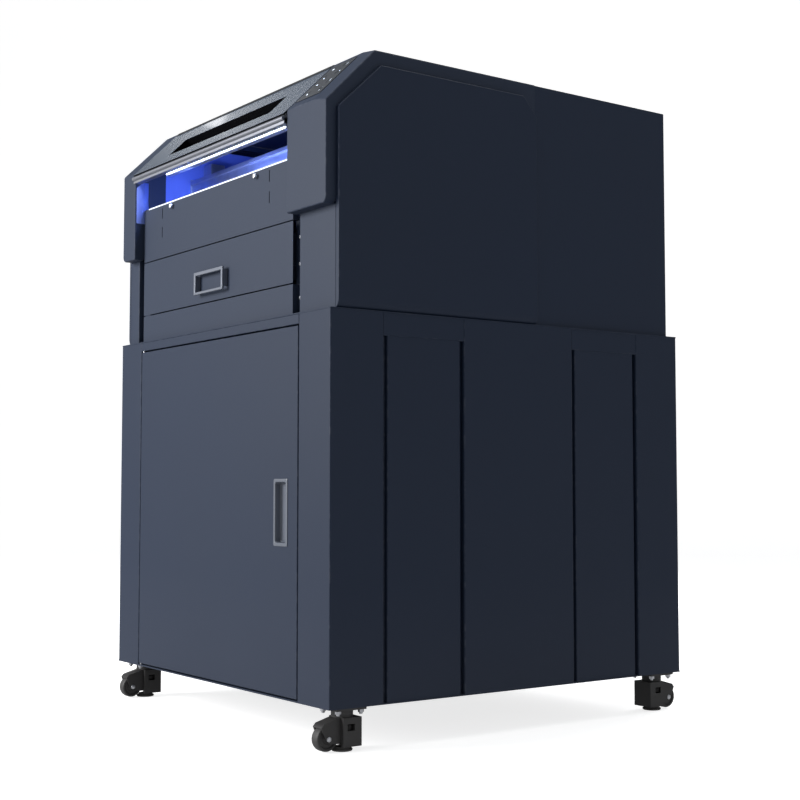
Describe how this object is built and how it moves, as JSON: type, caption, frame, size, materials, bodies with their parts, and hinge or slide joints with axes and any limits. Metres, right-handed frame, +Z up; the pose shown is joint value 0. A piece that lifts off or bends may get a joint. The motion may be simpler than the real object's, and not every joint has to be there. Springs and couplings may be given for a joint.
{
  "type": "flatbed uv printer",
  "caption": "Flatbed UV printer on a navy steel cabinet, with a slanted hood, moving bed, print carriage, tool drawer, hinged door and leveling casters.",
  "frame": {"origin": "on the floor, under the middle of the cabinet", "axes": "+Z up, +X to the operator's right, -Y to the front"},
  "size_m": [1.004, 1.0425, 1.471],
  "materials": {
    "navy_paint": "dark navy powder coat, fine texture",
    "blue_paint": "satin, lit blue by the lamp",
    "frame_steel": "matt dark primer",
    "black_steel": "black coated steel",
    "caster_body": "black coated die casting",
    "zinc_steel": "zinc plated",
    "aluminium": "anodised",
    "black_plastic": "matt black",
    "black_gloss": "glossy black",
    "grey_plastic": "satin grey blue",
    "clear_plastic": "milky translucent",
    "hood_gloss": "glossy blue grey",
    "foot_rubber": "black rubber"
  },
  "bodies": {
    "machine": {"cabinet_frame": "frame_steel", "cabinet_base": "navy_paint", "cabinet_deck": "navy_paint", "corner_posts": "navy_paint", "side_centre_panels": "navy_paint", "side_inset_panels": "navy_paint", "door_header": "navy_paint", "rear_panel": "navy_paint", "rear_panel_screws": "zinc_steel", "shelf": "frame_steel", "power_supply": "aluminium", "waste_bottle": "clear_plastic", "air_pump": "black_plastic", "door_pivots": "zinc_steel", "door_latch": "frame_steel", "caster_plates": "black_steel", "caster_bolts": "zinc_steel", "left_pod": "navy_paint", "right_pod": "navy_paint", "left_side_cover": "navy_paint", "right_side_cover": "navy_paint", "left_cap": "navy_paint", "right_cap": "navy_paint", "control_panel": "black_gloss", "top_cover": "navy_paint", "rear_cover": "navy_paint", "rear_fan": "black_plastic", "power_inlet": "black_plastic", "print_bay": "blue_paint", "lower_strip": "navy_paint", "front_panel": "navy_paint", "thumbscrews": "zinc_steel", "drawer_slides": "zinc_steel", "hood_hinge_fixed": "black_steel", "gantry": "aluminium", "bed_guides": "zinc_steel"},
    "door": {"cabinet_door": "navy_paint", "door_pull": "grey_plastic"},
    "drawer_body": {"drawer": "navy_paint", "drawer_handle": "grey_plastic"},
    "hood": {"hood_panel": "hood_gloss", "hood_rail": "aluminium", "hood_hinge_moving": "black_steel", "led_bar": "aluminium"},
    "carriage_body": {"carriage": "black_plastic"},
    "head_body": {"print_heads": "aluminium"},
    "bed_body": {"bed": "aluminium"},
    "switch_body": {"main_switch": "black_gloss"},
    "caster_fl": {"housing_fl": "caster_body"},
    "caster_fr": {"housing_fr": "caster_body"},
    "caster_rl": {"housing_rl": "caster_body"},
    "caster_rr": {"housing_rr": "caster_body"},
    "roller_fl": {"wheel_fl": "black_plastic"},
    "roller_fr": {"wheel_fr": "black_plastic"},
    "roller_rl": {"wheel_rl": "black_plastic"},
    "roller_rr": {"wheel_rr": "black_plastic"},
    "leveler_fl": {"foot_fl": "foot_rubber"},
    "leveler_fr": {"foot_fr": "foot_rubber"},
    "leveler_rl": {"foot_rl": "foot_rubber"},
    "leveler_rr": {"foot_rr": "foot_rubber"}
  },
  "joints": [
    {"name": "door_hinge", "type": "hinge", "parent": "machine", "child": "door", "pos_m": [-0.377, -0.502, 0.489], "axis": [0, 0, -1], "range_deg": [0, 105]},
    {"name": "drawer_slide", "type": "slide", "parent": "machine", "child": "drawer_body", "axis": [0, -1, 0], "range_m": [0, 0.34]},
    {"name": "hood_hinge", "type": "hinge", "parent": "machine", "child": "hood", "pos_m": [-0.043, -0.39, 1.4675], "axis": [-1, 0, 0], "range_deg": [0, 95]},
    {"name": "carriage_slide", "type": "slide", "parent": "machine", "child": "carriage_body", "axis": [-1, 0, 0], "range_m": [0, 0.62]},
    {"name": "head_lift", "type": "slide", "parent": "carriage_body", "child": "head_body", "axis": [0, 0, 1], "range_m": [0, 0.06]},
    {"name": "bed_slide", "type": "slide", "parent": "machine", "child": "bed_body", "axis": [0, 1, 0], "range_m": [0, 0.4]},
    {"name": "main_switch_rocker", "type": "hinge", "parent": "machine", "child": "switch_body", "pos_m": [0.315, 0.481, 1.028], "axis": [1, 0, 0], "range_deg": [-7, 7]},
    {"name": "swivel_fl", "type": "hinge", "parent": "machine", "child": "caster_fl", "pos_m": [-0.46, -0.45, 0.07], "axis": [0, 0, 1], "continuous": true},
    {"name": "swivel_fr", "type": "hinge", "parent": "machine", "child": "caster_fr", "pos_m": [0.46, -0.45, 0.07], "axis": [0, 0, 1], "continuous": true},
    {"name": "swivel_rl", "type": "hinge", "parent": "machine", "child": "caster_rl", "pos_m": [-0.46, 0.45, 0.07], "axis": [0, 0, 1], "continuous": true},
    {"name": "swivel_rr", "type": "hinge", "parent": "machine", "child": "caster_rr", "pos_m": [0.46, 0.45, 0.07], "axis": [0, 0, 1], "continuous": true},
    {"name": "wheel_fl_spin", "type": "hinge", "parent": "caster_fl", "child": "roller_fl", "pos_m": [-0.46, -0.492, 0.028], "axis": [1, 0, 0], "continuous": true},
    {"name": "wheel_fr_spin", "type": "hinge", "parent": "caster_fr", "child": "roller_fr", "pos_m": [0.46, -0.492, 0.028], "axis": [1, 0, 0], "continuous": true},
    {"name": "wheel_rl_spin", "type": "hinge", "parent": "caster_rl", "child": "roller_rl", "pos_m": [-0.46, 0.492, 0.028], "axis": [1, 0, 0], "continuous": true},
    {"name": "wheel_rr_spin", "type": "hinge", "parent": "caster_rr", "child": "roller_rr", "pos_m": [0.46, 0.492, 0.028], "axis": [1, 0, 0], "continuous": true},
    {"name": "level_fl", "type": "slide", "parent": "caster_fl", "child": "leveler_fl", "axis": [0, 0, 1], "range_m": [-0.01, 0.004]},
    {"name": "level_fr", "type": "slide", "parent": "caster_fr", "child": "leveler_fr", "axis": [0, 0, 1], "range_m": [-0.01, 0.004]},
    {"name": "level_rl", "type": "slide", "parent": "caster_rl", "child": "leveler_rl", "axis": [0, 0, 1], "range_m": [-0.01, 0.004]},
    {"name": "level_rr", "type": "slide", "parent": "caster_rr", "child": "leveler_rr", "axis": [0, 0, 1], "range_m": [-0.01, 0.004]}
  ]
}
